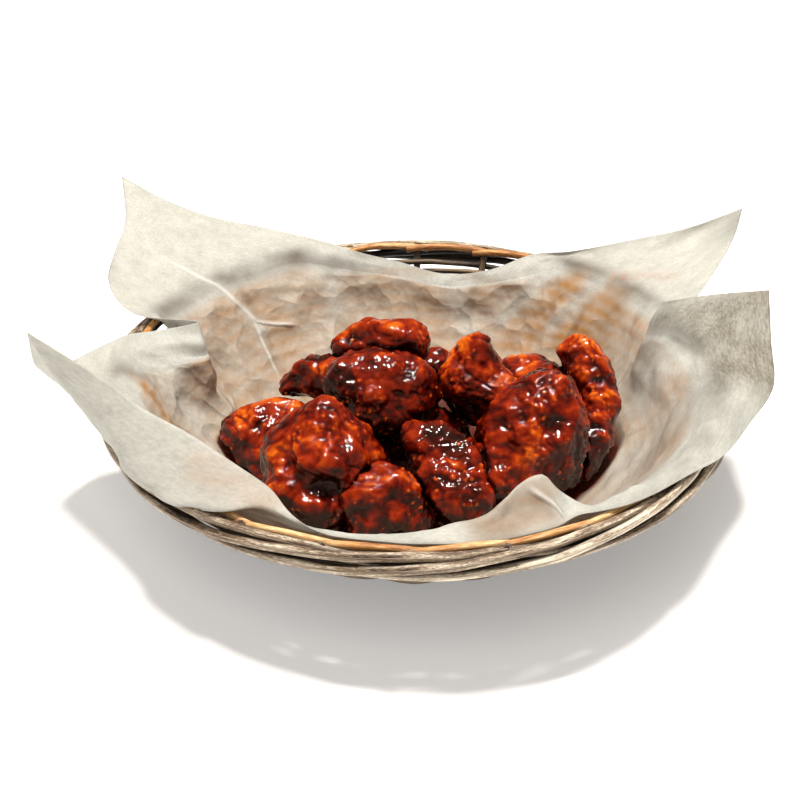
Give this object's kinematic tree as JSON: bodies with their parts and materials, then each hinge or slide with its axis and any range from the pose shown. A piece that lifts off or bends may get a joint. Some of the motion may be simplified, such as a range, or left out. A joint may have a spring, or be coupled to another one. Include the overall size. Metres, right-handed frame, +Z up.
{
  "type": "chicken wings in a lined basket",
  "caption": "Sauced chicken wings piled in a round woven rattan basket, on a loosely folded sheet of deli paper whose corners stand out over the rim.",
  "frame": {"origin": "on the table, under the middle of the basket's round base", "axes": "+Z up; +X to the right and -Y towards the diner, with the low folded front edge of the paper at -Y"},
  "size_m": [0.2943, 0.2494, 0.0848],
  "materials": {
    "willow": "woven round rattan core, weathered tan brown",
    "grey_rod": "satin grey-brown rods with dark gaps between them",
    "tan_rod": "smooth golden tan rod",
    "deli_paper": "thin off-white waxed paper, a little see-through where it lies on the basket",
    "glazed_wing": "wet, glossy dark red-brown sauce over a craggy fried coating, orange on the ridges"
  },
  "bodies": {
    "root": {"basket_body": "willow", "basket_border": "grey_rod", "basket_trim": "tan_rod", "paper_liner": "deli_paper", "wing_front_left": "glazed_wing", "wing_front_middle": "glazed_wing", "wing_right": "glazed_wing", "wing_drumette": "glazed_wing", "wing_middle": "glazed_wing", "wing_left": "glazed_wing", "wing_top": "glazed_wing", "wing_far_right": "glazed_wing", "wing_knuckle": "glazed_wing", "wing_back_left": "glazed_wing", "wing_back_right": "glazed_wing", "wing_behind": "glazed_wing", "wing_low": "glazed_wing", "wing_underneath": "glazed_wing"}
  },
  "joints": []
}
